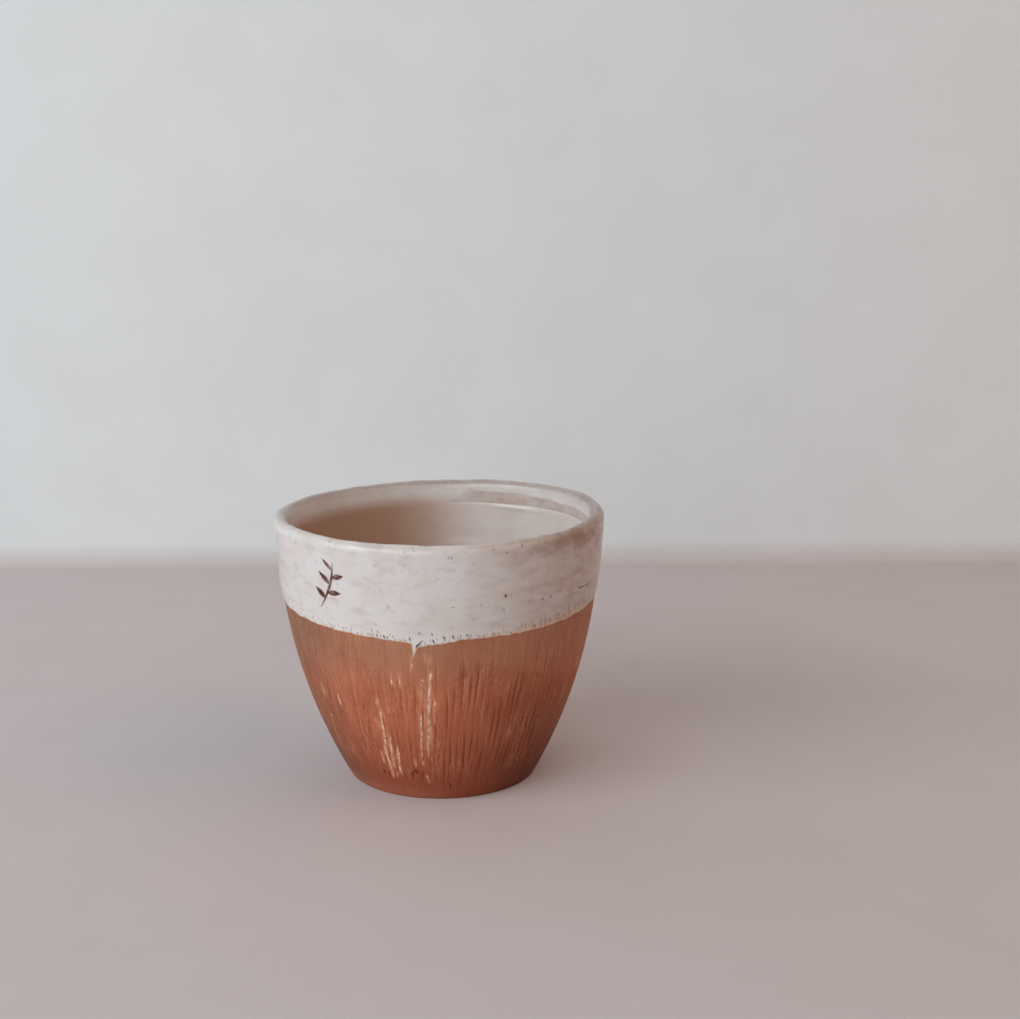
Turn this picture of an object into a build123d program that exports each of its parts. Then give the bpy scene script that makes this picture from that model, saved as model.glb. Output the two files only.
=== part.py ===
# Small handleless cup thrown in red clay, glazed white inside and round the lip
import os
from math import radians, tan

from build123d import *

os.makedirs("parts", exist_ok=True)

# Clay body
foot_diameter = 46.1
shoulder_diameter = 74.8
shoulder_height = 41.5
foot_angle = 28.9  # how far the wall leans out where it leaves the foot, in degrees
lip_diameter = 79.2
body_height = 64.9
lip_wall = 2.7
shoulder_wall = 4.2
heel_wall = 1.4  # from the foot's edge in to where the wall would meet the floor
floor_thickness = 5.6
heel_round = 12.0
foot_round = 0.7
axis_lean = 0.55  # the thrown wall leans this many degrees to -X of its foot

# Poured coat inside the cup
liner_coat = 0.4
overlap_depth = 4.0  # down the inside from the lip's rounding to where the two coats meet

# Dipped coat round the lip, with one run at the front
dip_coat = 0.4
dip_depth = 19.1
dip_slant = 3.9  # degrees, lower at the front
run_azimuth = -9.0  # degrees from the front, to the left
run_width = 1.4
run_length = 5.0
sag_width = 13.0
sag_depth = 1.6

# Places that follow from those sizes
foot_radius = foot_diameter / 2
lip_radius = lip_diameter / 2
foot_point = (foot_radius, 0)
shoulder_point = (shoulder_diameter / 2, shoulder_height)
lip_point = (lip_radius, body_height - lip_wall / 2)
inner_shoulder_point = (shoulder_diameter / 2 - shoulder_wall, shoulder_height)
floor_corner = (foot_radius - heel_wall, floor_thickness)
floor_centre = (0, floor_thickness)
foot_trim = foot_round + foot_diameter * tan(radians(axis_lean))
dip_height = body_height - dip_depth
dip_front = dip_height - shoulder_diameter / 2 * tan(radians(dip_slant))
run_tip = dip_front - run_length
reach = lip_radius + foot_diameter

# The wheel plane holds the cup's section: x is the radius, y runs up the leaning axis
wheel_plane = Plane.XZ.rotated((0, -axis_lean, 0))
wheel_axis = Axis(wheel_plane.origin, wheel_plane.y_dir)

# Face of the clay, up the outside from the foot, over the lip and down the inside
with BuildLine() as outside:
    up_from_foot = Vector(0, 1).rotate(Axis.Z, -foot_angle)
    lower_wall = TangentArc(foot_point, shoulder_point, tangent=up_from_foot)
    upper_wall = TangentArc(shoulder_point, lip_point, tangent=lower_wall % 1)
    lip = JernArc(upper_wall @ 1, upper_wall % 1, lip_wall / 2, 180)

with BuildLine() as inside:
    inner_upper_wall = TangentArc(lip @ 1, inner_shoulder_point, tangent=lip % 1)
    TangentArc(inner_shoulder_point, floor_corner, tangent=inner_upper_wall % 1)
    Line(floor_corner, floor_centre)
    fillet(inside.vertices().group_by(Axis.Y)[0].sort_by(Axis.X)[-1], heel_round)


def face_of_coat(edge, coat):
    # The outer face of a coat that lies on the right of an edge of the clay
    start = edge @ 0 + (edge % 0).rotate(Axis.Z, -90) * coat
    end = edge @ 1 + (edge % 1).rotate(Axis.Z, -90) * coat
    if edge.geom_type == GeomType.LINE:
        return Line(start, end)
    return TangentArc(start, end, tangent=edge % 0)


def coat_section(edges, coat):
    # Closed outline of a coat over a run of the clay's edges
    add(edges)
    faces = [face_of_coat(edge, coat) for edge in edges]
    Line(edges[0] @ 0, faces[0] @ 0)
    Line(edges[-1] @ 1, faces[-1] @ 1)


with BuildPart() as clay_body:
    with BuildSketch(wheel_plane):
        with BuildLine():
            add(outside.line)
            add(inside.line)
            below_foot = Line(foot_point, lower_wall @ 0 - up_from_foot * foot_trim)
            Polyline(below_foot @ 1, (0, (below_foot @ 1).Y), floor_centre)
        make_face()
    revolve(axis=wheel_axis)
    split(bisect_by=Plane.XY, keep=Keep.TOP)
    fillet(clay_body.edges().group_by(Axis.Z)[0], foot_round)

clay_body.part.label = "clay_body"
export_step(clay_body.part, "parts/clay_body.step")

# Where the two coats meet, as a share of the inner upper wall
overlap = overlap_depth / inner_upper_wall.length

with BuildPart() as liner_glaze:
    with BuildSketch(wheel_plane):
        with BuildLine():
            below_overlap = inner_upper_wall.trim(overlap, 1)
            coat_section([below_overlap] + inside.wire().order_edges()[1:], liner_coat)
        make_face()
    revolve(axis=wheel_axis)

liner_glaze.part.label = "liner_glaze"
export_step(liner_glaze.part, "parts/liner_glaze.step")

# All that the dip reached: above the slanting dip line, and the run below it
with BuildPart() as dip_reach:
    with BuildSketch(Plane.XY.offset(dip_height).rotated((dip_slant, 0, 0))):
        Circle(reach)
    extrude(amount=body_height)
    with BuildSketch(Plane.XZ.rotated((0, 0, run_azimuth))):
        with BuildLine():
            left_side = Polyline(
                (-sag_width / 2, dip_height),
                (-sag_width / 2, dip_front),
                (-run_width / 2, dip_front - sag_depth),
                (-run_width / 2, run_tip + run_width / 2),
            )
            JernArc(left_side @ 1, left_side % 1, run_width / 2, 180)
            mirror(left_side, about=Plane.YZ)
            Line((-sag_width / 2, dip_height), (sag_width / 2, dip_height))
        make_face()
    extrude(amount=reach)

with BuildPart() as dipped_glaze:
    with BuildSketch(wheel_plane):
        with BuildLine():
            above_overlap = inner_upper_wall.trim(0, overlap)
            coat_section([lower_wall, upper_wall, lip, above_overlap], dip_coat)
        make_face()
    revolve(axis=wheel_axis)
    add(dip_reach.part, mode=Mode.INTERSECT)

dipped_glaze.part.label = "dipped_glaze"
export_step(dipped_glaze.part, "parts/dipped_glaze.step")
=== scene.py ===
import math

import bpy
import numpy as np
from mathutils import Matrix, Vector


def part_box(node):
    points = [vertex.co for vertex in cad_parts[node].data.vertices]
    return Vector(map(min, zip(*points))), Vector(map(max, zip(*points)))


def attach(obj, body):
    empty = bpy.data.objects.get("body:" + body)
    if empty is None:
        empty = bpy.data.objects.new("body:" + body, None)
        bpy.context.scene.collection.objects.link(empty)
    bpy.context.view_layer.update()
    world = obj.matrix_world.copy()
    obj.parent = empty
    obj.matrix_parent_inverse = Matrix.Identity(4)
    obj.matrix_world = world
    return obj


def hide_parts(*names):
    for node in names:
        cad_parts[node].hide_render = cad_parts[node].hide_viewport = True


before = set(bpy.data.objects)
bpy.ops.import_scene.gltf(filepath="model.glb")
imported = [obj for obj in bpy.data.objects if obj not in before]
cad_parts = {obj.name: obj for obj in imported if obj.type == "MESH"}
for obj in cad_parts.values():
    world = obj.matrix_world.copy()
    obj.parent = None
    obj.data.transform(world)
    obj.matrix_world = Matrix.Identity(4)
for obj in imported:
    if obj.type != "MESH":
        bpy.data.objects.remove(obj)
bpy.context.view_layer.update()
print("frame loaded:", ", ".join(sorted(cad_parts)))

mm = 0.001
farGap = 9.0  # stands for any gap too wide to matter, in millimetres
strokeTaper = 0.3  # a stroke's half width is less by this share of its width at its end

# the thrown form that all three layers share, in millimetres and degrees
# around is counted from the front, to the right of someone facing the cup
cup = dict(
    lean=0.55,  # the wall leans this far to -X of its foot
    lipTilt=0.42,  # the lip dips by this much at the front and rises as much at the back
    lipRise=0.22,  # and stands this much higher on the right
    lipWave=0.27,  # a wave twice round the lip
    lipWaveTurn=27.0,  # where that wave is low
    pinch=0.55,  # the wall is pressed in by this much under the lip, on the left
    pinchTurn=-90.0,
    pinchSpread=40.0,
    pinchHeight=57.0,
    pinchTall=5.5,
    footRadius=23.05,
    footHeading=28.9,  # off upright, where the wall leaves the foot
    footRound=0.7,
    footHollow=0.25,  # the underside is dished by this much
    shoulderRadius=37.4,
    shoulderHeight=41.5,
    lipRadius=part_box("clay_body")[1].y / mm,
    lipHeight=63.55,  # where the lip's rounding begins
    lipWall=2.7,
    shoulderWall=4.2,
    heelRadius=24.4,  # inside, where the wall turns into the floor
    heelHeight=13.8,
    floorHeight=5.6,
)


def tangentArc(start, heading, end, count):
    # points after start on an arc to end that leaves start heading so far off upright
    run = np.subtract(end, start)
    half = math.radians(math.remainder(math.degrees(math.atan2(*run)) - heading, 360))
    share = np.linspace(0, 1, count + 1)[1:]
    reach = np.hypot(*run) * np.sin(half * share) / math.sin(half)
    bearing = math.radians(heading) + half * share
    points = start + np.stack([reach * np.sin(bearing), reach * np.cos(bearing)], 1)
    return points, heading + 2 * math.degrees(half)


def ahead(heading, distance):
    angle = math.radians(heading)
    return distance * np.array([math.sin(angle), math.cos(angle)])


def wallLine(counts):
    # face of the clay as (radius, height), up the outside, over the lip and down to the floor's middle
    foot = np.array([cup["footRadius"], 0.0])
    shoulder = np.array([cup["shoulderRadius"], cup["shoulderHeight"]])
    lip = np.array([cup["lipRadius"], cup["lipHeight"]])
    innerShoulder = shoulder - [cup["shoulderWall"], 0]
    heel = np.array([cup["heelRadius"], cup["heelHeight"]])
    lower, heading = tangentArc(foot, cup["footHeading"], shoulder, counts["lower"])
    upper, heading = tangentArc(shoulder, heading, lip, counts["upper"])
    lipEnd = lip + ahead(heading - 90, cup["lipWall"])
    over, heading = tangentArc(lip, heading, lipEnd, counts["lip"])
    innerUpper, heading = tangentArc(lipEnd, heading, innerShoulder, counts["innerUpper"])
    innerLower, heading = tangentArc(innerShoulder, heading, heel, counts["innerLower"])
    chordHeading = (heading - 90) / 2
    drop = cup["heelHeight"] - cup["floorHeight"]
    floorEdge = heel + ahead(chordHeading, -drop / math.cos(math.radians(chordHeading)))
    bend, heading = tangentArc(heel, heading, floorEdge, counts["heel"])
    floorMiddle = [[0.0, cup["floorHeight"]]]
    return np.concatenate([[foot], lower, upper, over, innerUpper, innerLower, bend, floorMiddle])


# a fine copy of that line, measured along its length, which the coats are laid on
fineLine = wallLine(dict(lower=400, upper=200, lip=80, innerUpper=200, innerLower=200, heel=100))
fineLength = np.concatenate([[0], np.cumsum(np.hypot(*np.diff(fineLine, axis=0).T))])
fineHeading = np.gradient(fineLine, fineLength, axis=0)
lipCrest = int(np.argmax(fineLine[:, 1]))


def alongOutside(height):
    return np.interp(height, fineLine[:lipCrest, 1], fineLength[:lipCrest])


def alongInside(height):
    return np.interp(-height, -fineLine[lipCrest:, 1], fineLength[lipCrest:])


lipFrom = float(alongOutside(cup["lipHeight"]))
lipTo = float(alongInside(cup["lipHeight"]))
crest = fineLength[lipCrest]


def onClay(along, lift):
    # radius and height of a point that stands off the clay's face by lift
    radius = np.interp(along, fineLength, fineLine[:, 0])
    height = np.interp(along, fineLength, fineLine[:, 1])
    outward = np.interp(along, fineLength, fineHeading[:, 1])
    upward = -np.interp(along, fineLength, fineHeading[:, 0])
    return radius + lift * outward, height + lift * upward


def smoothStep(low, high, value):
    share = np.clip((value - low) / (high - low), 0, 1)
    return share * share * (3 - 2 * share)


def hump(place, line, off, spread):
    # 1 at so far off a line, less on both sides
    return np.exp(-((place - line - off) / spread) ** 2)


def turnTo(around, degrees):
    # signed angle from a bearing, in degrees
    return (np.degrees(around) - degrees + 180) % 360 - 180


def ripple(around, size, seed, low, high):
    # an uneven wave of that size round the cup, with between low and high bumps to the turn
    chance = np.random.default_rng(seed)
    waves = np.arange(low, high)
    wave = sum(np.cos(n * around + chance.uniform(0, 2 * math.pi)) * chance.normal() / n for n in waves)
    return size * wave / np.sqrt(np.sum(0.5 / waves ** 2.0))


def stand(around, radius, height):
    # places in the frame, with the wall's lean, its pressed side and the uneven lip
    lean = math.tan(math.radians(cup["lean"]))
    share = np.clip(height / cup["lipHeight"], 0, None)
    pinchSide = turnTo(around, cup["pinchTurn"]) / cup["pinchSpread"]
    pinchLevel = (height - cup["pinchHeight"]) / cup["pinchTall"]
    radius = radius - cup["pinch"] * np.exp(-pinchSide ** 2 - pinchLevel ** 2)
    x = radius * np.sin(around)
    y = -radius * np.cos(around)
    wave = cup["lipWave"] * np.cos(2 * (around - math.radians(cup["lipWaveTurn"])))
    lip = cup["lipRise"] * np.sin(around) - cup["lipTilt"] * np.cos(around) - wave
    return np.stack([x - lean * height, y, height + lean * x * share + lip * share ** 3], 1)


def spinSection(name, section, steps):
    # one vertex, extruded along the section, spun through a wedge of the cup, and the wedge repeated
    wedges = 20
    wedge = 2 * math.pi / wedges
    weldGap = 0.001 * mm
    bpy.ops.object.select_all(action="DESELECT")
    bpy.ops.mesh.primitive_plane_add(size=mm)
    piece = bpy.context.object
    piece.name = piece.data.name = name
    bpy.ops.object.mode_set(mode="EDIT")
    bpy.ops.mesh.merge(type="CENTER")
    bpy.ops.transform.translate(value=(section[0][0] * mm, 0, section[0][1] * mm))
    for across, up in np.diff(section, axis=0) * mm:
        bpy.ops.mesh.extrude_region_move(TRANSFORM_OT_translate={"value": (across, 0, up)})
    bpy.ops.mesh.select_all(action="SELECT")
    bpy.ops.mesh.spin(steps=steps // wedges, angle=wedge, axis=(0, 0, 1))
    bpy.ops.mesh.select_all(action="SELECT")
    bpy.ops.mesh.spin(steps=wedges - 1, dupli=True, angle=2 * math.pi - wedge, axis=(0, 0, 1))
    bpy.ops.mesh.select_all(action="SELECT")
    bpy.ops.mesh.remove_doubles(threshold=weldGap)
    bpy.ops.mesh.normals_make_consistent(inside=False)
    bpy.ops.object.mode_set(mode="OBJECT")
    bpy.ops.object.shade_smooth()
    return piece


def spunPlaces(piece, section):
    # each vertex's angle round the cup and its row in the section
    places = np.empty(len(piece.data.vertices) * 3, np.float32)
    piece.data.vertices.foreach_get("co", places)
    x, y, z = places.reshape(-1, 3).astype(float).T / mm
    radius = np.hypot(x, y)
    gaps = [np.hypot(radius - r, z - h) for r, h in section]
    return np.arctan2(x, -y), np.argmin(gaps, axis=0)


def spinCoat(name, coat, outer, under, edgeLift):
    # a closed coat, its face along outer and its hidden face back along under
    along = np.concatenate([outer, under])
    isFace = np.arange(len(along)) < len(outer)
    lift = np.where(isFace, coat["coat"], -coat["sink"])
    lift[0] = edgeLift
    section = np.stack(onClay(along, lift), 1)
    section[along == fineLength[-1], 0] = 0
    piece = spinSection(name, np.concatenate([section, section[:1]]), coat["steps"])
    around, row = spunPlaces(piece, section)
    return piece, around, along[row], isFace[row], row == 0


def setPlaces(piece, places):
    piece.data.vertices.foreach_set("co", (places * mm).astype(np.float32).ravel())
    piece.data.update()


def setAttribute(piece, name, values):
    layer = piece.data.attributes.new(name, "FLOAT", "POINT")
    layer.data.foreach_set("value", np.asarray(values, np.float32))


def finishPiece(piece, material, node):
    piece.data.materials.append(material)
    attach(piece, "root")
    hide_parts(node)
    print(piece.name, "has", len(piece.data.polygons), "faces")


def strokeDistance(around, height, strokes):
    # least distance from brush strokes that thin out towards their ends, inside counts negative
    # each stroke is its first turn and height, its last turn and height, and its width
    nearest = np.full(around.shape, farGap)
    for turn, low, endTurn, high, width in strokes:
        length = cup["shoulderRadius"] * math.radians(endTurn - turn)
        rise = high - low
        across = cup["shoulderRadius"] * np.radians(turnTo(around, turn))
        up = height - low
        share = np.clip((across * length + up * rise) / (length ** 2 + rise ** 2), 0, 1)
        gap = np.hypot(across - share * length, up - share * rise)
        nearest = np.minimum(nearest, gap - width * (0.5 - strokeTaper * share))
    return nearest


# node helpers

def colour(red, green, blue):
    # a screen colour, 0 to 255, as the shader wants it
    parts = [c / 255 for c in (red, green, blue)]
    return tuple(c / 12.92 if c < 0.04045 else ((c + 0.055) / 1.055) ** 2.4 for c in parts) + (1,)


def newMaterial(name):
    material = bpy.data.materials.new(name)
    material.use_nodes = True
    return material, material.node_tree, material.node_tree.nodes["Principled BSDF"]


def addNode(tree, kind, inputs, **settings):
    node = tree.nodes.new(kind)
    for name, value in settings.items():
        setattr(node, name, value)
    for key, value in inputs.items():
        if isinstance(value, bpy.types.NodeSocket):
            tree.links.new(value, node.inputs[key])
        else:
            node.inputs[key].default_value = value
    return node


def calc(tree, operation, *values, clamp=False):
    node = addNode(tree, "ShaderNodeMath", dict(enumerate(values)), operation=operation, use_clamp=clamp)
    return node.outputs[0]


def plus(tree, first, second):
    return calc(tree, "ADD", first, second)


def times(tree, first, second):
    return calc(tree, "MULTIPLY", first, second)


def vectorCalc(tree, operation, inputs, output="Vector"):
    return addNode(tree, "ShaderNodeVectorMath", inputs, operation=operation).outputs[output]


def fade(tree, value, low, high, start=0.0, end=1.0):
    # start where the value is at low, end where it is at high
    inputs = {"Value": value, "From Min": low, "From Max": high, "To Min": start, "To Max": end}
    return addNode(tree, "ShaderNodeMapRange", inputs, interpolation_type="SMOOTHSTEP").outputs[0]


def blend(tree, share, first, second):
    inputs = {0: share, 6: first, 7: second}
    return addNode(tree, "ShaderNodeMix", inputs, data_type="RGBA").outputs[2]


def shareOf(tree, patterns, factors):
    # product of the patterns named, each faded between two of its values if they are given
    share = 1.0
    for name, *limits in factors:
        factor = fade(tree, patterns[name], *limits) if limits else patterns[name]
        share = times(tree, share, factor)
    return share


def layTints(tree, look, patterns, body):
    for tint, *factors in look["tints"]:
        body = blend(tree, shareOf(tree, patterns, factors), body, look[tint])
    return body


def noise(tree, vector, size, detail=2.0, roughness=0.5):
    # size is the pattern's grain in millimetres
    inputs = {"Vector": vector, "Scale": 1 / (size * mm), "Detail": detail, "Roughness": roughness}
    return addNode(tree, "ShaderNodeTexNoise", inputs).outputs["Fac"]


def swing(tree, pattern, size):
    # a noise pattern about its middle, times size
    return times(tree, calc(tree, "SUBTRACT", pattern, 0.5), size)


def attribute(tree, name):
    return addNode(tree, "ShaderNodeAttribute", {}, attribute_name=name).outputs["Fac"]


def objectPlace(tree):
    return addNode(tree, "ShaderNodeTexCoord", {}).outputs["Object"]


def axisOf(tree, place, axis):
    return addNode(tree, "ShaderNodeSeparateXYZ", {0: place}).outputs[axis]


def inMm(tree, place, axis):
    return calc(tree, "DIVIDE", axisOf(tree, place, axis), mm)


def bearingOf(tree, place):
    # which way the place lies from the cup's axis, as a level vector one long
    flat = vectorCalc(tree, "MULTIPLY", {0: place, 1: (1, 1, 0)})
    return vectorCalc(tree, "NORMALIZE", {0: flat})


def roundTheCup(tree, place, aroundStretch, upStretch):
    # the place on a straight-sided cup, squeezed so that a pattern stretches round or up the wall
    ringRadius = cup["shoulderRadius"] * mm / aroundStretch
    ring = vectorCalc(tree, "SCALE", {0: bearingOf(tree, place), "Scale": ringRadius})
    up = vectorCalc(tree, "MULTIPLY", {0: place, 1: (0, 0, 1 / upStretch)})
    return vectorCalc(tree, "ADD", {0: ring, 1: up})


def sway(tree, place, far, length):
    # the place, shifted by up to about a fifth of far each way, in waves of about that length
    waves = {"Vector": place, "Scale": 1 / (length * mm), "Detail": 1.0}
    wave = addNode(tree, "ShaderNodeTexNoise", waves).outputs["Color"]
    middle = vectorCalc(tree, "SUBTRACT", {0: wave, 1: (0.5, 0.5, 0.5)})
    shift = vectorCalc(tree, "SCALE", {0: middle, "Scale": far * mm})
    return vectorCalc(tree, "ADD", {0: place, 1: shift})


def addBump(tree, shader, look, patterns):
    # relief in which each pattern has its share
    relief = 0.0
    for name, share in look["bumpShares"].items():
        relief = plus(tree, relief, times(tree, patterns[name], share))
    inputs = {"Height": relief, "Distance": look["bumpDepth"] * mm, "Strength": look["bumpStrength"]}
    tree.links.new(addNode(tree, "ShaderNodeBump", inputs).outputs[0], shader.inputs["Normal"])


# clay body

clay = dict(
    steps=1200,
    dishRows=(0, 0.3, 0.6, 0.85, 0.95),  # shares of the way out to the foot's edge
    roundRows=4,
    footRows=(1.1, 12, 0.7),  # distances up the wall: first, end and step
    wallRows=(12, 52, 1.2),
    bandRows=(56, 60),
    lipRows=5,
    innerHeights=(55, 45, 35, 25, 13.8, 10.5, 8.0, 6.4, 5.65),
    paleRidge=0.07,  # how far the pale streaks stand up
    ridgeEdge=(0.2, -0.1),
    pitDepth=0.2,
    pitEdge=(0.15, -0.3),
    tan=colour(182, 127, 99),
    red=colour(198, 115, 82),
    footRed=colour(152, 77, 52),
    paintedShadeBrown=colour(80, 31, 13),
    leftSideShade=colour(92, 68, 54),
    footBounceLight=colour(190, 120, 96),
    lightStreak=colour(216, 150, 117),
    darkStreak=colour(118, 54, 35),
    grooveShade=colour(98, 44, 29),
    glintPale=colour(255, 228, 200),
    pitShade=colour(96, 41, 26),
    twist=1.0,  # the streaks turn by this many radians in a metre of height
    sway=1.1,  # how far the streaks wander, and over what length
    swayLength=3.2,
    stretch={"streaky": 12, "dashed": 2.6, "crumbled": 2.2},  # how far drawn out up the wall
    noises={  # how each is laid, its grain, detail and roughness
        "blotch": ("still", 13, 2),
        "patch": ("still", 8, 1),
        "speckle": ("still", 0.24, 2),
        "softStreak": ("streaky", 1.2, 2, 0.5),
        "fineStreak": ("streaky", 0.45, 2, 0.55),
        "dash": ("dashed", 0.42, 2, 0.6),
        "wander": ("dashed", 0.9, 1),
        "crumb": ("crumbled", 0.42, 3, 0.65),
    },
    streakWander=0.75,  # how far the edges of the pale streaks and pits stray
    pitWander=0.6,
    shadeOnWall=("height", 44, 14, 0.0, 0.5),  # painted shade, darker low on the right: a pattern, where it starts and is full, its share at both
    shadeOnFoot=("height", 13, 3, 0.0, 0.2),
    combed=[("height", 3, 11, 0.3, 1.0), ("height", 43, 34, 0.6, 1.0), ("patch", 0.38, 0.6, 0.3, 1.0)],
    paintedGlint=[("streakGap", 0.08, -0.2), ("crumb", 0.42, 0.56)],
    tints=[  # laid over the foot's red in this order
        ("red", ("height", 1, 24)),
        ("tan", ("height", 26, 41)),
        ("footRed", ("blotch", 0.35, 0.7, 0, 0.35)),
        # painted shade: darker brown low on the right side of the clay
        ("paintedShadeBrown", ("paintedShade",), ("rightward", 2, 22)),
        # painted shade: the clay darker and greyer towards its left edge
        ("leftSideShade", ("facing", -0.5, -0.95, 0, 0.5)),
        # painted light: a paler pink low on the foot's left, where light bounces up from the floor
        ("footBounceLight", ("height", 5, 1), ("facing", 0.3, -0.3, 0, 0.4)),
        ("lightStreak", ("combed",), ("softStreak", 0.5, 0.72, 0, 0.3)),
        ("darkStreak", ("combed",), ("softStreak", 0.48, 0.28, 0, 0.28)),
        ("lightStreak", ("combed",), ("fineStreak", 0.5, 0.72, 0, 0.32)),
        ("darkStreak", ("combed",), ("fineStreak", 0.48, 0.28, 0, 0.28)),
        ("lightStreak", ("combed",), ("dash", 0.5, 0.72, 0, 0.34)),
        ("darkStreak", ("combed",), ("dash", 0.48, 0.28, 0, 0.36)),
        # painted shade darkens the grooves, on top of their cut relief
        ("grooveShade", ("groove", 0.1, 0.75, 0, 0.48)),
        ("lightStreak", ("speckle", 0.62, 0.8, 0, 0.2)),
        ("darkStreak", ("speckle", 0.4, 0.22, 0, 0.25)),
        # painted glint: a light halo round the pale streaks, then their pale cores
        ("lightStreak", ("streakGap", 0.8, -0.1, 0, 0.9), ("fineStreak", 0.36, 0.56)),
        ("glintPale", ("paintedGlint",)),
        # painted shade in the pits, over their hollows
        ("pitShade", ("pitGap", 0.25, -0.3, 0, 0.75), ("speckle", 0.3, 0.46)),
    ],
    gloss=0.18,
    roughness=(0.3, 0.7, 0.62, 0.5),
    paleShine=0.25,
    bumpShares={"softStreak": 0.8, "speckle": 0.2, "fineStreak": 0.6, "dash": 0.4},
    bumpDepth=0.14,
    bumpStrength=0.7,
)
grooves = dict(
    seed=11,
    spacing=(2.3, 3.2),  # degrees from one to the next
    drift=0.06,  # degrees for each millimetre of height
    driftHeight=25.0,
    depth=(0.16, 0.28),
    width=(0.21, 0.32),
    foot=(5.0, 13.0),  # heights where they run out
    footFade=4.0,
    top=(29.0, 41.0),
    topFade=5.0,
    sway=0.15,
    swayLength=4.0,
    patchy=0.34,  # how much their depth comes and goes
    patchLength=2.7,
    deepTurn=17.0,  # the tool bit deepest round here
    deepSpread=35.0,
    elsewhere=0.42,
)
# raised pale streaks, as strokes; their pale colour is a painted glint
glintStreaks = [
    (-3.2, 35.7, -4.3, 28.6, 0.65), (-4.3, 28.6, -4.9, 21.5, 0.95),
    (-4.9, 21.5, -5.9, 13.5, 0.75), (-7.7, 24.0, -9.0, 11.5, 0.65),
    (-6.5, 33.5, -7.4, 26.0, 0.3), (-2.0, 28.0, -2.3, 22.0, 0.4),
    (-24.8, 28.5, -24.1, 25.0, 0.4), (-24.1, 25.0, -25.0, 18.0, 0.5),
    (-25.0, 18.0, -25.9, 11.0, 0.7), (-25.9, 11.0, -25.8, 6.0, 0.6),
    (-22.0, 17.8, -23.1, 14.0, 0.5), (-23.1, 14.0, -23.6, 9.0, 0.55),
    (-19.6, 14.6, -20.9, 7.6, 0.55), (-28.4, 12.6, -28.9, 10.0, 0.45),
    (-18.0, 35.2, -17.7, 31.4, 0.34), (-14.8, 34.6, -14.7, 31.6, 0.3),
    (-54.2, 19.8, -54.2, 19.2, 0.45), (-9.4, 39.6, -9.8, 37.8, 0.4),
    (-9.9, 37.5, -10.4, 35.4, 0.3), (-5.0, 39.6, -5.2, 38.0, 0.24),
    (-3.5, 39.2, -3.7, 37.4, 0.26), (-7.3, 7.2, -6.9, 5.4, 0.5),
    (-12.6, 11.6, -12.4, 10.2, 0.4),
]
# pits near the foot
pits = [
    (-12.9, 8.4, -11.6, 7.7, 1.5), (-14.6, 7.6, -14.9, 6.2, 1.3),
    (-9.4, 8.0, -9.7, 6.2, 0.8), (-18.4, 6.4, -17.9, 6.0, 0.8),
    (-30.6, 7.2, -30.3, 6.5, 1.2), (-27.6, 6.8, -27.4, 6.0, 0.8),
    (4.4, 4.6, 4.6, 3.4, 0.9),
]
flecks = dict(
    seed=41,
    mainStreaks=((-5.5, 12, 34), (-23.5, 7, 28)),  # turn of each, and the heights it spans
    besideStep=1.1,
    besideLean=0.05,  # degrees for each millimetre of height
    leanHeight=20,
    besideSpread=2.2,
    besideSlip=0.12,
    besideLength=(0.5, 1.8),
    besideWidth=(0.1, 0.3),
    turns=(70, 320, 4.5),  # on the rest of the wall: first, end and step
    stray=2,
    slip=0.3,
    top=(9, 34),
    length=(0.6, 4.0),
    width=(0.1, 0.34),
)


def scatterFlecks():
    # short pale flecks, painted glints, beside the two main streaks and on the rest of the wall
    chance = np.random.default_rng(flecks["seed"])
    draw = chance.uniform
    strokes = []
    for middle, low, high in flecks["mainStreaks"]:
        for top in np.arange(low, high, flecks["besideStep"]):
            lean = flecks["besideLean"] * (top - flecks["leanHeight"])
            start = middle + lean + chance.normal(0, flecks["besideSpread"])
            length = draw(*flecks["besideLength"])
            width = draw(*flecks["besideWidth"])
            strokes.append((start, top, start - flecks["besideSlip"], top - length, width))
    for turn in np.arange(*flecks["turns"]):
        top = draw(*flecks["top"])
        length = draw(*flecks["length"])
        start = turn + draw(-flecks["stray"], flecks["stray"])
        width = draw(*flecks["width"])
        strokes.append((start, top, start - flecks["slip"], top - length, width))
    return strokes


def clayRelief(around, height):
    # how far the turned face lies under the thrown one: long grooves drawn up the wall
    chance = np.random.default_rng(grooves["seed"])
    draw = chance.uniform
    radius = np.interp(height, fineLine[:lipCrest, 1], fineLine[:lipCrest, 0])
    drift = grooves["drift"] * (height - grooves["driftHeight"])
    footFade, topFade = grooves["footFade"], grooves["topFade"]
    relief = np.zeros(around.shape)
    bearing = 0.0
    while bearing < 360 - grooves["spacing"][1]:
        bearing += draw(*grooves["spacing"])
        depth = draw(*grooves["depth"])
        width = draw(*grooves["width"])
        bottom = draw(*grooves["foot"])
        top = draw(*grooves["top"])
        phase = draw(0, 2 * math.pi)
        fromDeep = math.remainder(bearing - grooves["deepTurn"], 360) / grooves["deepSpread"]
        bite = grooves["elsewhere"] + (1 - grooves["elsewhere"]) * math.exp(-fromDeep ** 4)
        wander = grooves["sway"] * np.sin(height / grooves["swayLength"] + phase)
        across = (radius * np.radians(turnTo(around, bearing + drift)) + wander) / width
        span = smoothStep(bottom - footFade, bottom + footFade, height)
        span = span * smoothStep(top + topFade, top - topFade, height)
        patchy = 1 + grooves["patchy"] * (np.sin(height / grooves["patchLength"] + 3 * phase) - 1)
        relief += depth * bite * patchy * span * np.exp(-across ** 2)
    return relief


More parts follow.
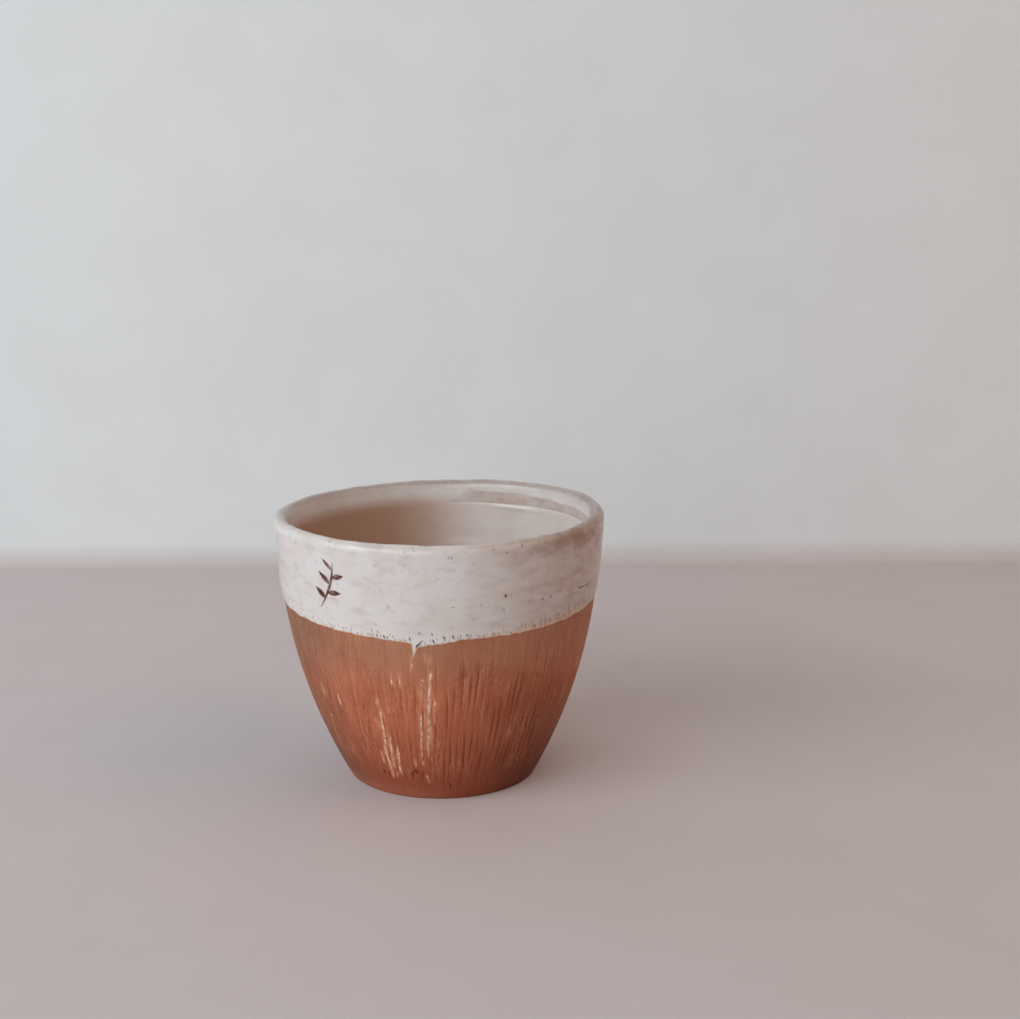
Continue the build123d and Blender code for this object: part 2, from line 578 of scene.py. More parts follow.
def makeClayMaterial():
    material, tree, shader = newMaterial("turnedRedClay")
    place = objectPlace(tree)
    twist = times(tree, axisOf(tree, place, "Z"), -clay["twist"])
    turning = {"Vector": sway(tree, place, clay["sway"], clay["swayLength"]), "Angle": twist}
    turned = addNode(tree, "ShaderNodeVectorRotate", turning, rotation_type="Z_AXIS").outputs[0]
    spaces = {"still": place}
    for name, stretch in clay["stretch"].items():
        spaces[name] = roundTheCup(tree, turned, 1, stretch)
    patterns = {}
    for name, (space, *grain) in clay["noises"].items():
        patterns[name] = noise(tree, spaces[space], *grain)
    patterns["height"] = inMm(tree, place, "Z")
    patterns["rightward"] = inMm(tree, place, "X")
    patterns["facing"] = axisOf(tree, bearingOf(tree, place), "X")
    patterns["groove"] = attribute(tree, "groove")
    wander = swing(tree, patterns["wander"], clay["streakWander"])
    patterns["streakGap"] = plus(tree, attribute(tree, "streakGap"), wander)
    patterns["pitGap"] = plus(tree, attribute(tree, "pitGap"), times(tree, wander, clay["pitWander"]))
    # painted shade, strongest low on the right
    shadeOnWall = shareOf(tree, patterns, [clay["shadeOnWall"]])
    patterns["paintedShade"] = plus(tree, shadeOnWall, shareOf(tree, patterns, [clay["shadeOnFoot"]]))
    for name in ("combed", "paintedGlint"):
        patterns[name] = shareOf(tree, patterns, clay[name])
    tree.links.new(layTints(tree, clay, patterns, clay["footRed"]), shader.inputs["Base Color"])

    dullness = fade(tree, patterns["fineStreak"], *clay["roughness"])
    dullness = calc(tree, "SUBTRACT", dullness, times(tree, patterns["paintedGlint"], clay["paleShine"]))
    tree.links.new(dullness, shader.inputs["Roughness"])
    shader.inputs["Specular IOR Level"].default_value = clay["gloss"]
    addBump(tree, shader, clay, patterns)
    return material


def makeClayBody():
    turn = (90 - cup["footHeading"]) / 2
    roundEnd = ahead(90 - turn, 2 * cup["footRound"] * math.sin(math.radians(turn)))
    footFlat = cup["footRadius"] + roundEnd[1] * math.tan(math.radians(cup["footHeading"])) - roundEnd[0]
    footRing = np.array([footFlat, 0.0])
    rounded, _ = tangentArc(footRing, 90, footRing + roundEnd, clay["roundRows"])
    dish = [[share * footFlat, cup["footHollow"] * (1 - share ** 4)] for share in clay["dishRows"]]
    wallRows = [np.arange(*clay["footRows"]), np.arange(*clay["wallRows"]), clay["bandRows"]]
    wallRows = np.concatenate(wallRows)
    lipRows = np.linspace(lipFrom, lipTo, clay["lipRows"])
    innerRows = alongInside(np.array(clay["innerHeights"]))
    along = np.concatenate([wallRows, lipRows, innerRows, fineLength[-1:]])
    section = np.concatenate([dish, [footRing], rounded, np.stack(onClay(along, 0), 1)])
    piece = spinSection("clayBody", section, clay["steps"])
    around, row = spunPlaces(piece, section)
    radius, height = section[row].T

    firstWall = len(dish) + 1
    lastWall = firstWall + len(rounded) + len(wallRows)
    onWall = (row >= firstWall) & (row < lastWall)
    groove = clayRelief(around, height)
    streakGap = strokeDistance(around, height, glintStreaks + scatterFlecks())
    pitGap = strokeDistance(around, height, pits)
    ridge = clay["paleRidge"] * smoothStep(*clay["ridgeEdge"], streakGap)
    hollow = clay["pitDepth"] * smoothStep(*clay["pitEdge"], pitGap)
    setPlaces(piece, stand(around, radius - np.where(onWall, groove + hollow - ridge, 0), height))
    setAttribute(piece, "groove", np.where(onWall, groove / grooves["depth"][1], 0))
    setAttribute(piece, "streakGap", np.where(onWall, streakGap, farGap))
    setAttribute(piece, "pitGap", np.where(onWall, pitGap, farGap))
    finishPiece(piece, makeClayMaterial(), "clay_body")


makeClayBody()

# white glaze, the same on the dipped coat and the poured one

glaze = dict(
    white=colour(229, 224, 222),
    chalk=colour(237, 232, 227),
    lilac=colour(202, 192, 194),
    warm=colour(214, 201, 192),
    grey=colour(150, 140, 138),
    peach=colour(222, 186, 158),
    thinBrown=colour(150, 104, 76),
    innerShadeTan=colour(160, 104, 56),
    lipBrown=colour(122, 96, 82),
    tick=colour(98, 72, 60),
    wash=colour(138, 92, 70),
    sprig=colour(74, 32, 22),
    brushStretch=2.2,  # how far the brushed pattern is drawn out round the cup
    brushGrain=(2.1, 2, 0.5),  # grain, detail and roughness
    noises={
        "cloud": (7, 2),
        "spots": (1.6, 1),
        "grain": (0.35, 2),
        "wobble": (0.4, 2),
        "lipNoise": (0.8, 1),
    },
    wobbleSize=0.4,  # how far edges and strokes stray, and what share of it each has
    wobbleShares={"wavyEdge": 1.0, "faintGap": 1.0, "tickGap": 0.6, "sprigGap": 0.3},
    thinFade=(0.3, 0.62, 0.68, 1.0),
    lumps=[("lipNoise",), ("height", 61.2, 63.2, 0.0, 0.85)],
    tints=[  # laid over the white in this order, as on the clay
        ("lilac", ("brush",), ("brushed", 0.48, 0.74, 0, 0.52)),
        ("warm", ("cloud", 0.4, 0.75, 0, 0.4)),
        ("grey", ("brush",), ("spots", 0.66, 0.8, 0, 0.3)),
        ("chalk", ("edgeGap", 3.5, 0.8, 0, 0.7)),
        # thin glaze, and painted shade on the right
        ("thinBrown", ("thinAndShade",), ("uneven",)),
        # painted shade and painted warm reflection inside
        ("innerShadeTan", ("inside",)),
        # worn lip, darker on the right as painted shade
        ("lipBrown", ("wornAndShaded",), ("spots", 0.3, 0.65, 0.85, 1.0)),
        ("peach", ("rightward", -16, 2, 0.7, 0.9), ("wavyEdge", 0.7, 0.15)),
        ("peach", ("rightward", 4, 22, 0, 0.45), ("wavyEdge", 2.6, 0.4)),
        ("thinBrown", ("faintGap", 0.18, -0.05, 0, 0.55)),
        ("tick", ("tickGap", 0.12, -0.08, 0, 0.9)),
        ("wash", ("sprigGap", 0.16, -0.1, 0, 0.75)),
        ("sprig", ("spots", 0.34, 0.56, 0.35, 1.0), ("sprigGap", -0.02, -0.24)),
    ],
    roughness=(0.3, 0.7, 0.09, 0.18),
    bumpShares={"cloud": 1.0, "strokes": 0.25, "grain": 0.04, "lumps": 1.0},
    bumpDepth=0.25,
    bumpStrength=0.5,
)
# a small brushed sprig on the left of the band, a stem and its leaves, as strokes
sprig = dict(
    strokes=[
        (-42.2, 48.6, -35.4, 59.6, 0.75),
        (-40.6, 51.0, -45.4, 53.2, 1.35),
        (-39.8, 52.4, -34.4, 52.6, 1.35),
        (-38.6, 54.4, -43.0, 57.0, 1.35),
        (-37.6, 56.0, -32.6, 56.8, 1.25),
        (-36.6, 57.8, -39.4, 60.2, 1.05),
    ],
    middle=54.0,
    bend=0.035,  # how far it bows, for each square millimetre from its middle
    swell=(0.1, 0.96),  # the stretch of half a wave that a stroke's width follows
)


def paintedSprig(tree, place):
    # distance from the sprig's strokes in millimetres, inside counts negative
    backward = times(tree, axisOf(tree, place, "Y"), -1.0)
    turn = calc(tree, "ARCTAN2", axisOf(tree, place, "X"), backward)
    up = inMm(tree, place, "Z")
    above = calc(tree, "SUBTRACT", up, sprig["middle"])
    bow = times(tree, times(tree, above, above), sprig["bend"])
    across = plus(tree, times(tree, turn, cup["shoulderRadius"]), bow)
    spot = addNode(tree, "ShaderNodeCombineXYZ", {0: across, 1: up}).outputs[0]
    swellFrom, swellTo = [share * math.pi for share in sprig["swell"]]
    nearest = farGap
    for startTurn, low, endTurn, high, width in sprig["strokes"]:
        start = (cup["shoulderRadius"] * math.radians(startTurn), low, 0)
        run = (cup["shoulderRadius"] * math.radians(endTurn - startTurn), high - low, 0)
        beside = vectorCalc(tree, "SUBTRACT", {0: spot, 1: start})
        reach = vectorCalc(tree, "DOT_PRODUCT", {0: beside, 1: run}, "Value")
        share = calc(tree, "DIVIDE", reach, run[0] ** 2 + run[1] ** 2, clamp=True)
        onStroke = vectorCalc(tree, "SCALE", {0: run, "Scale": share})
        far = vectorCalc(tree, "DISTANCE", {0: beside, 1: onStroke}, "Value")
        swell = calc(tree, "SINE", calc(tree, "MULTIPLY_ADD", share, swellTo - swellFrom, swellFrom))
        gap = calc(tree, "SUBTRACT", far, times(tree, swell, width / 2))
        nearest = calc(tree, "MINIMUM", nearest, gap)
    return nearest


def makeGlazeMaterial():
    material, tree, shader = newMaterial("whiteGlaze")
    place = objectPlace(tree)
    patterns = {}
    for name, grain in glaze["noises"].items():
        patterns[name] = noise(tree, place, *grain)
    for name in ("edgeGap", "faintGap", "tickGap", "brush", "thinAndShade", "inside", "wornAndShaded"):
        patterns[name] = attribute(tree, name)
    patterns["height"] = inMm(tree, place, "Z")
    patterns["rightward"] = inMm(tree, place, "X")
    patterns["wavyEdge"] = patterns["edgeGap"]
    patterns["sprigGap"] = paintedSprig(tree, place)
    wobble = swing(tree, patterns["wobble"], glaze["wobbleSize"])
    for name, share in glaze["wobbleShares"].items():
        patterns[name] = plus(tree, patterns[name], times(tree, wobble, share))
    brushed = noise(tree, roundTheCup(tree, place, glaze["brushStretch"], 1), *glaze["brushGrain"])
    unbrushed = calc(tree, "SUBTRACT", 1.0, patterns["brush"])
    patterns["brushed"] = brushed
    patterns["uneven"] = calc(tree, "MAXIMUM", fade(tree, brushed, *glaze["thinFade"]), unbrushed)
    patterns["strokes"] = times(tree, brushed, patterns["brush"])
    patterns["lumps"] = shareOf(tree, patterns, glaze["lumps"])
    tree.links.new(layTints(tree, glaze, patterns, glaze["white"]), shader.inputs["Base Color"])
    tree.links.new(fade(tree, patterns["cloud"], *glaze["roughness"]), shader.inputs["Roughness"])
    addBump(tree, shader, glaze, patterns)
    return material


whiteGlaze = makeGlazeMaterial()

# dipped coat round the lip

dip = dict(
    steps=1300,
    edgeRows=(0, 0.05, 0.12, 0.22, 0.35, 0.52, 0.74, 1.0, 1.3, 1.65, 2.05, 2.5, 3.0, 3.5),
    rowGap=0.42,  # from row to row farther up
    lipClear=0.2,
    lipRows=10,
    innerRows=10,
    innerClear=0.03,
    underRows=5,
    coat=0.4,
    sink=0.12,  # the hidden face lies this far under the clay's
    edgeSink=0.02,
    line=45.8,  # height of the dip line at the sides
    slant=2.55,  # lower by this much at the front, higher at the back
    nibble=(0.07, 5, 30, 260),  # how far, seed, and how few and many to the turn
    runTurn=-9.2,  # one run hangs from a sag near the front, steeper on its left
    run=2.3,
    runLeft=0.15,  # degrees over which it narrows to nothing
    runRight=2.0,
    sagLeft=0.95,
    sagLeftSpread=9.0,
    sagRight=1.9,
    sagRightSpread=17.6,
    follow=(14.0, 1.5),  # this far off, rows don't follow the edge, and this near, they do fully
    nearColumns=24,  # how many columns each way may hold the nearest place on the edge
    bead=0.45,  # how far in from its edge the coat is rounded over
    edgeCoat=0.6,  # share of the full coat just behind that
    fullCoat=4.0,  # and how far in it is full
    uneven=0.12,  # share by which the coat comes and goes
    unevenWaves=((3, 2.3), (2, 1.9)),
    lipLump=(0.05, 14, 8, 70),  # how uneven the coat is over the lip
    lipLumpBand=(0.0, 2.5),
    insideEnd=59.55,
    insideShade=0.82,  # how strong the painted shade and painted warm reflection inside are
    insideAll=0.15,  # a little of it all round
    insideAllSide=0.05,
    insideAllDepth=(1.0, 6.0),
    insideSide=0.8,  # and most of it on the left
    insideShadeDepth=5.2,
    insideShadeTurn=-115.0,
    insideShadeAcross=(0.02, 0.78),
    insideShadeEnd=(20.0, 42.0),
    insideShadeLoss=0.55,
    stripFrom=97.0,  # a thin strip inside, where the two coats part
    stripTo=175.0,
    stripEndSoft=1.5,
    stripEndWander=(0.7, 8, 3, 20),
    stripTopFrom=61.5,
    stripTopTo=62.9,
    stripTopSoft=0.2,
    stripTopWander=(0.1, 9, 4, 40),
    stripSlant=2.4,  # degrees that its end leans over in each millimetre
    stripSunk=0.25,
    stripFade=(4.0, -14.0),
    beadTurn=144.0,  # where the poured coat's edge stands up along it
    beadSpread=13.0,
    rightTurn=70.0,  # painted shade with thinner glaze: the coat darker and browner on the right
    rightSpread=(70.0, 15.0),
    thinStrip=0.38,
    rightShadeAndThin=0.5,
    rightLipShadeAndThin=0.3,
    lipShadeAndThinBand=(-0.4, 2.2),
    wornCrest=0.42,  # and worn along the lip, least near the front, with painted shade that darkens it more on the right
    rightShadeOnCrest=0.7,
    wornBand=(0.5, 1.4),
    wornTurn=-15.0,
    wornSpread=(10.0, 75.0),
    wornLine=0.22,
    wornLineBand=(1.0, 0.5),
    brushEnd=2.0,  # how far inside the brushed look ends
    smudge=0.5,  # a thin place at the edge, right of the front
    smudgeTurn=14.6,
    smudgeSpread=2.6,
    smudgeTall=0.7,
)
# dark specks and ticks that the iron in the clay left near the front
ticks = [
    (-7.8, 41.9, -5.7, 43.4, 0.5), (-9.9, 43.9, -9.8, 43.2, 0.4),
    (-6.7, 45.6, -6.5, 44.7, 0.3), (-2.5, 45.3, -2.3, 44.6, 0.28),
    (-2.1, 43.5, -1.8, 42.7, 0.4), (1.6, 44.2, 2.0, 43.4, 0.38),
    (4.4, 44.5, 4.6, 43.8, 0.36), (9.4, 44.6, 9.7, 44.2, 0.36),
    (-22.8, 44.4, -22.7, 43.8, 0.26), (-21.4, 44.3, -21.3, 43.7, 0.3),
    (-18.9, 44.2, -18.8, 43.6, 0.36), (-17.6, 44.0, -17.5, 43.6, 0.3),
    (-15.7, 44.3, -15.6, 43.7, 0.28), (22.1, 53.3, 22.2, 52.8, 0.6),
    (3.5, 63.2, 3.0, 62.5, 0.26), (4.6, 63.2, 4.1, 62.6, 0.26),
    (31.0, 51.0, 31.8, 51.0, 0.5), (36.4, 51.0, 37.4, 51.0, 0.56),
    (40.0, 51.1, 41.0, 51.1, 0.52), (55.5, 50.9, 60.0, 50.7, 0.52),
    (60.5, 50.7, 66.0, 50.5, 0.5), (27.6, 64.2, 28.6, 64.2, 0.42),
    (31.6, 64.2, 32.2, 64.2, 0.3), (22.0, 63.3, 22.7, 63.2, 0.44),
    (17.4, 64.2, 18.1, 64.1, 0.36), (-91.0, 64.3, -90.0, 64.1, 0.5),
]
scatter = dict(
    seed=23,
    edgeTurns=(-180, 180, 1.3),  # just above the edge: first turn, end and step
    edgeStray=0.6,
    edgeGap=0.3,
    edgeReach=1.2,
    edgeTall=(0.3, 0.9),
    edgeSlip=(-0.3, 0.5),
    edgeWidth=(0.12, 0.3),
    darkShare=0.14,
    ownTicks=(-26, 13),  # between these turns the dark ones are those listed above
    longTurns=(30, 150, 2.2),  # longer ones on the right
    longStray=0.9,
    longGap=(0.2, 1.0),
    longTall=(0.9, 2.6),
    longSlip=0.3,
    longWidth=(0.2, 0.42),
    bandTurns=(-180, 180, 5.0),  # level ones on the band
    bandStray=2,
    bandHeight=(46.5, 55),
    bandSlip=(0.2, 0.9),
    bandWidth=(0.1, 0.4),
)


def dipEdge(around):
    # height of the coat's lower edge
    side = turnTo(around, dip["runTurn"])
    onLeft = dip["sagLeft"] * np.exp(np.minimum(side, 0) / dip["sagLeftSpread"])
    onRight = dip["sagRight"] * np.clip(1 - side / dip["sagRightSpread"], 0, 1)
    run = dip["run"] * np.clip(1 - np.where(side < 0, -side / dip["runLeft"], side / dip["runRight"]), 0, 1)
    level = dip["line"] - dip["slant"] * np.cos(around)
    return level - np.where(side < 0, onLeft, onRight) - run + ripple(around, *dip["nibble"])


def edgeHeight(turn):
    return float(dipEdge(np.array([math.radians(turn)]))[0])


def scatterTicks():
    # small ticks just above the edge, all the way round, dark ones and faint ones
    chance = np.random.default_rng(scatter["seed"])
    draw = chance.uniform
    ownFrom, ownTo = scatter["ownTicks"]
    dark, faint = [], []
    for turn in np.arange(*scatter["edgeTurns"]):
        turn += draw(-scatter["edgeStray"], scatter["edgeStray"])
        base = edgeHeight(turn) + scatter["edgeGap"] + scatter["edgeReach"] * chance.random() ** 2
        tall = draw(*scatter["edgeTall"])
        slip = draw(*scatter["edgeSlip"])
        width = draw(*scatter["edgeWidth"])
        isDark = chance.random() < scatter["darkShare"] and not ownFrom < turn < ownTo
        pile = dark if isDark else faint
        pile.append((turn, base + tall, turn + slip, base, width))
    for turn in np.arange(*scatter["longTurns"]):
        turn += draw(-scatter["longStray"], scatter["longStray"])
        base = edgeHeight(turn) + draw(*scatter["longGap"])
        tall = draw(*scatter["longTall"])
        width = draw(*scatter["longWidth"])
        faint.append((turn, base + tall, turn + scatter["longSlip"], base, width))
    for turn in np.arange(*scatter["bandTurns"]):
        turn += draw(-scatter["bandStray"], scatter["bandStray"])
        base = draw(*scatter["bandHeight"])
        slip = draw(*scatter["bandSlip"])
        width = draw(*scatter["bandWidth"])
        faint.append((turn, base, turn + slip, base, width))
    return dark, faint


def stripShare(around):
    # 1 along the part of the lip where the two coats part inside
    middle = (dip["stripFrom"] + dip["stripTo"]) / 2
    half = (dip["stripTo"] - dip["stripFrom"]) / 2
    away = np.abs(turnTo(around, middle)) + ripple(around, *dip["stripEndWander"])
    return smoothStep(half + dip["stripEndSoft"], half - dip["stripEndSoft"], away)


def stripTop(around):
    # height of the strip's upper edge, which slopes along it
    share = turnTo(around, dip["stripFrom"]) / (dip["stripTo"] - dip["stripFrom"])
    slope = dip["stripTopTo"] - dip["stripTopFrom"]
    return dip["stripTopFrom"] + slope * np.clip(share, 0, 1) + ripple(around, *dip["stripTopWander"])


def beadShare(around):
    return np.exp(-(turnTo(around, dip["beadTurn"]) / dip["beadSpread"]) ** 4)


def insideShade(around, along):
    # painted shade and painted warm reflection inside, on one side and most some way down
    depth = along - lipTo
    radius, _ = onClay(along, 0)
    across = radius / cup["lipRadius"] * np.cos(around - math.radians(dip["insideShadeTurn"]))
    side = smoothStep(*dip["insideShadeAcross"], across)
    deep = smoothStep(0, dip["insideShadeDepth"], depth)
    deep = deep * (1 - dip["insideShadeLoss"] * smoothStep(*dip["insideShadeEnd"], depth))
    allRound = dip["insideAll"] + dip["insideAllSide"] * side
    allRound = allRound * smoothStep(*dip["insideAllDepth"], depth)
    return dip["insideShade"] * (allRound + dip["insideSide"] * side * deep)


def gapToEdge(column, place, edgeAlong):
    # distance from the coat's edge, over the wall's surface
    gap = np.full(place.shape, farGap)
    width = cup["shoulderRadius"] * 2 * math.pi / dip["steps"]
    for step in range(-dip["nearColumns"], dip["nearColumns"]):
        first = edgeAlong[(column + step) % dip["steps"]] - place
        rise = edgeAlong[(column + step + 1) % dip["steps"]] - place - first
        share = np.clip(-(step * width ** 2 + first * rise) / (width ** 2 + rise ** 2), 0, 1)
        gap = np.minimum(gap, np.hypot((step + share) * width, first + share * rise))
    return gap


def tintDippedGlaze(piece, around, place, clayHeight, gap, strip):
    # where the coat is thin, worn or painted with shade, and how far each place is from its edge and its
    # ticks
    outside = place < crest
    rightSide = smoothStep(*dip["rightSpread"], np.abs(turnTo(around, dip["rightTurn"])))
    lipBand = hump(place, lipFrom, *dip["lipShadeAndThinBand"])
    stripEnds = [dip["stripTo"] + reach for reach in dip["stripFade"]]
    stripTint = smoothStep(*stripEnds, np.degrees(around) % 360)
    smudgeSide = turnTo(around, dip["smudgeTurn"]) / dip["smudgeSpread"]
    smudge = np.exp(-smudgeSide ** 2 - (gap / dip["smudgeTall"]) ** 2)
    # darker where the glaze is thin along the strip and at the smudge; on the right, painted shade with
    # thinner glaze
    thinAndShade = dip["thinStrip"] * strip * stripTint
    thinAndShade = thinAndShade + rightSide * (dip["rightLipShadeAndThin"] * lipBand + dip["rightShadeAndThin"] * outside)
    thinAndShade = thinAndShade + dip["smudge"] * outside * smudge
    crestBand = hump(place, crest, *dip["wornBand"])
    crestBand = crestBand * smoothStep(*dip["wornSpread"], np.abs(turnTo(around, dip["wornTurn"])))
    innerLine = hump(place, crest, *dip["wornLineBand"])
    wornAndShaded = dip["wornCrest"] * crestBand * (1 + dip["rightShadeOnCrest"] * rightSide) + dip["wornLine"] * innerLine
    setAttribute(piece, "edgeGap", gap)
    setAttribute(piece, "thinAndShade", np.clip(thinAndShade, 0, 1))
    setAttribute(piece, "wornAndShaded", np.clip(wornAndShaded, 0, 1))
    setAttribute(piece, "inside", insideShade(around, place))
    setAttribute(piece, "brush", np.maximum(smoothStep(crest + dip["brushEnd"], crest, place), strip))
    dark, faint = scatterTicks()
    for name, strokes in (("tickGap", ticks + dark), ("faintGap", faint)):
        setAttribute(piece, name, np.where(outside, strokeDistance(around, clayHeight, strokes), farGap))


def makeDippedGlaze():
    start = float(alongOutside(dip["line"]))
    end = float(alongInside(dip["insideEnd"]))
    edgeRows = start + np.array(dip["edgeRows"])
    wallRows = np.arange(edgeRows[-1] + dip["rowGap"], lipFrom - dip["lipClear"], dip["rowGap"])
    lipRows = np.linspace(lipFrom, lipTo, dip["lipRows"])
    innerRows = np.linspace(lipTo, end - dip["innerClear"], dip["innerRows"] + 1)[1:]
    outer = np.concatenate([edgeRows, wallRows, lipRows, innerRows, [end]])
    under = np.linspace(end, start, dip["underRows"] + 1)[:-1]
    piece, around, along, isFace, isEdge = spinCoat("dippedGlaze", dip, outer, under, -dip["edgeSink"])

    # rows near the edge follow it, and those near the lip stay level
    columnTurns = np.arange(dip["steps"]) * 2 * math.pi / dip["steps"]
    column = np.round(around / columnTurns[1]).astype(int) % dip["steps"]
    edgeAlong = alongOutside(dipEdge(columnTurns))
    followEnd, followStart = [start + reach for reach in dip["follow"]]
    follow = smoothStep(followEnd, followStart, along)
    place = along + (edgeAlong[column] - start) * follow
    outside = place < crest
    _, clayHeight = onClay(place, 0)
    gap = gapToEdge(column, place, edgeAlong)

    # the coat's thickness, rounded over at its edge and sunken along the strip inside
    rounded = np.sqrt(1 - (1 - np.clip(gap / dip["bead"], 0, 1)) ** 2)
    rounded = rounded * (dip["edgeCoat"] + (1 - dip["edgeCoat"]) * smoothStep(0, dip["fullCoat"], gap))
    below = stripTop(columnTurns)[column] - clayHeight
    slanted = around + np.radians(dip["stripSlant"] * (clayHeight - dip["insideEnd"]))
    strip = stripShare(slanted) * smoothStep(-dip["stripTopSoft"], dip["stripTopSoft"], below)
    strip = np.where(outside, 0, strip)
    uneven = outside * 1.0
    for count, tall in dip["unevenWaves"]:
        uneven = uneven * np.sin(count * around + clayHeight / tall)
    lumpy = ripple(columnTurns, *dip["lipLump"])[column] * hump(place, crest, *dip["lipLumpBand"])
    thick = dip["coat"] * rounded * (1 - dip["stripSunk"] * strip) * (1 + dip["uneven"] * uneven) + lumpy
    lift = np.where(isFace, thick, -dip["sink"])
    lift = np.where(isEdge, -dip["edgeSink"], lift)
    lift = lift - np.where(outside, clayRelief(around, clayHeight), 0)
    setPlaces(piece, stand(around, *onClay(place, lift)))
    tintDippedGlaze(piece, around, place, clayHeight, gap, strip)
    finishPiece(piece, whiteGlaze, "dipped_glaze")


makeDippedGlaze()

# poured coat inside

liner = dict(
    steps=700,
    edgeRows=(0, 0.05, 0.15, 0.3, 0.45, 0.6, 0.75, 0.9, 1.05, 1.2, 1.4, 1.65, 2.0, 2.6),
    wallRows=44,
    wallStart=0.8,  # from the last of the rows near its edge
    wallEnd=13.0,  # from the floor's middle, as the rows on the floor
    floorRows=(8.0, 4.0, 0.0),
    underRows=26,
    coat=0.4,
    sink=0.12,
    roll=0.4,  # how far down its edge is rounded over, along the strip
    bead=0.28,  # height of the low bead along part of the strip
    beadDepth=0.9,  # how far under the edge it is highest
    beadWidth=0.5,
    ringGap=5.0,  # spacing of the throwing rings
    ringDepth=0.05,
    ringStart=(2.0, 8.0),
    ringEnd=20.0,
)


def makeLinerGlaze():
    top = float(alongInside(dip["insideEnd"]))
    bottom = fineLength[-1]
    edgeRows = top + np.array(liner["edgeRows"])
    wallRows = np.linspace(edgeRows[-1] + liner["wallStart"], bottom - liner["wallEnd"], liner["wallRows"])
    outer = np.concatenate([edgeRows, wallRows, bottom - np.array(liner["floorRows"])])
    under = np.linspace(bottom, top, liner["underRows"])
    piece, around, along, isFace, _ = spinCoat("linerGlaze", liner, outer, under, liner["coat"])

    depth = along - top
    fullDepth = bottom - top
    strip = stripShare(around)
    rolled = np.sqrt(1 - (1 - np.clip(depth / liner["roll"], 0, 1)) ** 2)
    thick = liner["coat"] * (1 - dip["stripSunk"] * strip * (1 - rolled))
    bead = np.exp(-((depth - liner["beadDepth"]) / liner["beadWidth"]) ** 2 / 2)
    bead = liner["bead"] * strip * beadShare(around) * bead
    rings = liner["ringDepth"] * np.sin(2 * math.pi * depth / liner["ringGap"])
    rings = rings * smoothStep(*liner["ringStart"], depth)
    rings = rings * smoothStep(fullDepth, fullDepth - liner["ringEnd"], depth)
    radius, height = onClay(along, np.where(isFace, thick + bead + rings, -liner["sink"]))
    setPlaces(piece, stand(around, np.where(along == bottom, 0, radius), height))
    setAttribute(piece, "inside", insideShade(around, along))
    for name in ("thinAndShade", "wornAndShaded", "brush"):
        setAttribute(piece, name, np.zeros(around.shape))
    for name in ("edgeGap", "tickGap", "faintGap"):
        setAttribute(piece, name, np.full(around.shape, farGap))
    finishPiece(piece, whiteGlaze, "liner_glaze")


makeLinerGlaze()

# pale floor that turns up into a backdrop, soft light from the left and warm light from the right

studio = dict(
    width=2.4,  # sizes and places in metres
    front=-1.2,
    back=0.216,
    wallHeight=0.9,
    cornerRadius=0.006,
    cornerSteps=6,
    floorGrey=colour(210, 203, 205),
    wallGrey=colour(234, 240, 243),
    wallFade=(0, 10),
    mottle=colour(150, 140, 136),
    mottleGrain=(30, 3),
    mottleFade=(0.3, 0.7, 0.0, 0.04),
    roughness=0.9,
    lampDistance=1.1,
    fillTint=(1.0, 0.86, 0.76, 1),
    fillStrength=0.07,
)
# turn from the front, rise, width, height, watts and tint of each lamp
lamps = dict(
    windowLight=(-45.0, 25.0, 1.6, 0.95, 8.8, (0.92, 0.975, 1.0)),
    paneLight=(-56.0, 31.0, 0.8, 0.03, 1.9, (0.95, 0.98, 1.0)),
    warmLight=(72.0, 44.0, 0.9, 0.9, 2.9, (1.0, 0.66, 0.46)),
    glintLight=(26.0, 34.0, 0.05, 0.05, 0.25, (1.0, 1.0, 1.0)),
)


def makePaperMaterial():
    material, tree, shader = newMaterial("palePaper")
    place = objectPlace(tree)
    mottle = noise(tree, place, *studio["mottleGrain"])
    upTheWall = fade(tree, inMm(tree, place, "Z"), *studio["wallFade"])
    paper = blend(tree, upTheWall, studio["floorGrey"], studio["wallGrey"])
    paper = blend(tree, fade(tree, mottle, *studio["mottleFade"]), paper, studio["mottle"])
    tree.links.new(paper, shader.inputs["Base Color"])
    shader.inputs["Roughness"].default_value = studio["roughness"]
    return material


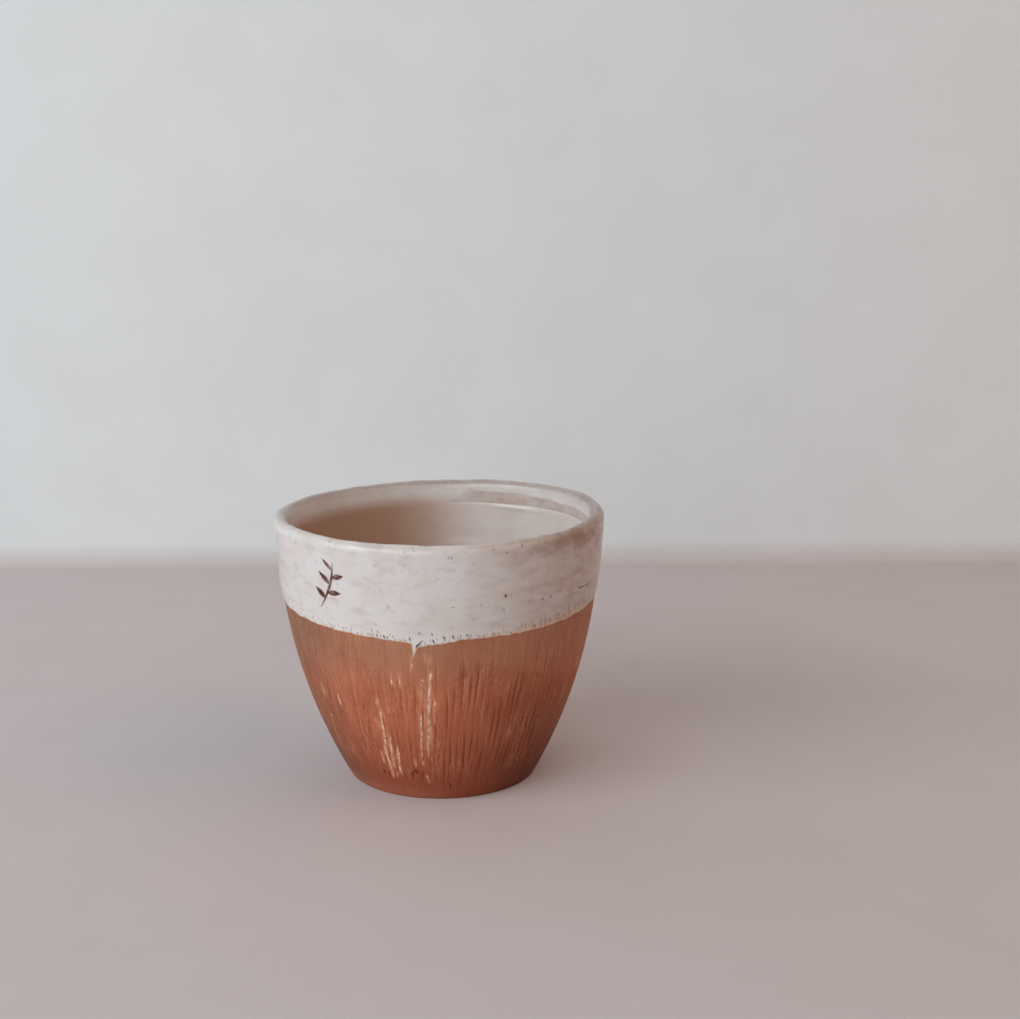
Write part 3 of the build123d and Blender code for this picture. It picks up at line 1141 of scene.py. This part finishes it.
def makeStudio():
    bpy.ops.object.select_all(action="DESELECT")
    depth = studio["back"] - studio["front"]
    bpy.ops.mesh.primitive_plane_add(size=1, location=(0, 0, 0))
    sheet = bpy.context.object
    sheet.name = "backdropSheet"
    sheet.scale = (studio["width"], depth, 1)
    sheet.location = (0, studio["back"] - depth / 2, 0)
    bpy.ops.object.transform_apply(location=True, rotation=True, scale=True)
    for edge in sheet.data.edges:
        edge.select = all(sheet.data.vertices[v].co.y > studio["back"] - mm for v in edge.vertices)
    for vertex in sheet.data.vertices:
        vertex.select = vertex.co.y > studio["back"] - mm
    for face in sheet.data.polygons:
        face.select = False
    bpy.ops.object.mode_set(mode="EDIT")
    bpy.ops.mesh.extrude_region_move(TRANSFORM_OT_translate={"value": (0, 0, studio["wallHeight"])})
    bpy.ops.object.mode_set(mode="OBJECT")
    corner = sheet.modifiers.new("corner", "BEVEL")
    corner.width = studio["cornerRadius"]
    corner.segments = studio["cornerSteps"]
    bpy.ops.object.modifier_apply(modifier="corner")
    bpy.ops.object.shade_smooth()
    sheet.data.materials.append(makePaperMaterial())


def addLamp(name, turn, rise, width, tall, power, tint):
    turn = math.radians(turn)
    rise = math.radians(rise)
    level = studio["lampDistance"] * math.cos(rise)
    spot = (level * math.sin(turn), -level * math.cos(turn), studio["lampDistance"] * math.sin(rise))
    bpy.ops.object.light_add(type="AREA", location=spot, rotation=(math.pi / 2 - rise, 0, turn))
    lamp = bpy.context.object
    lamp.name = name
    lamp.data.shape = "RECTANGLE"
    lamp.data.size = width
    lamp.data.size_y = tall
    lamp.data.energy = power
    lamp.data.color = tint
    lamp.visible_camera = False


def makeLights():
    for name, settings in lamps.items():
        addLamp(name, *settings)
    world = bpy.data.worlds.new("softRoom")
    world.use_nodes = True
    back = world.node_tree.nodes["Background"]
    back.inputs["Color"].default_value = studio["fillTint"]
    back.inputs["Strength"].default_value = studio["fillStrength"]
    bpy.context.scene.world = world


# where the photograph was taken from, in metres and degrees, its lens given in pixels of the picture
view = dict(
    place=(0.0025, -0.35407, 0.13603),
    turns=(78.676, -0.194, -2.24),
    focalPixels=1485,
    frameWidth=1020,
    sensorWidth=36,
    nearClip=0.01,
)


def makeCamera():
    turns = [math.radians(turn) for turn in view["turns"]]
    bpy.ops.object.camera_add(location=view["place"], rotation=turns)
    camera = bpy.context.object
    camera.data.sensor_width = view["sensorWidth"]
    camera.data.lens = view["focalPixels"] * view["sensorWidth"] / view["frameWidth"]
    camera.data.clip_start = view["nearClip"]
    bpy.context.scene.camera = camera


makeStudio()
makeLights()
makeCamera()
bpy.context.scene.view_settings.view_transform = "Standard"
print("studio, lights and camera ready")
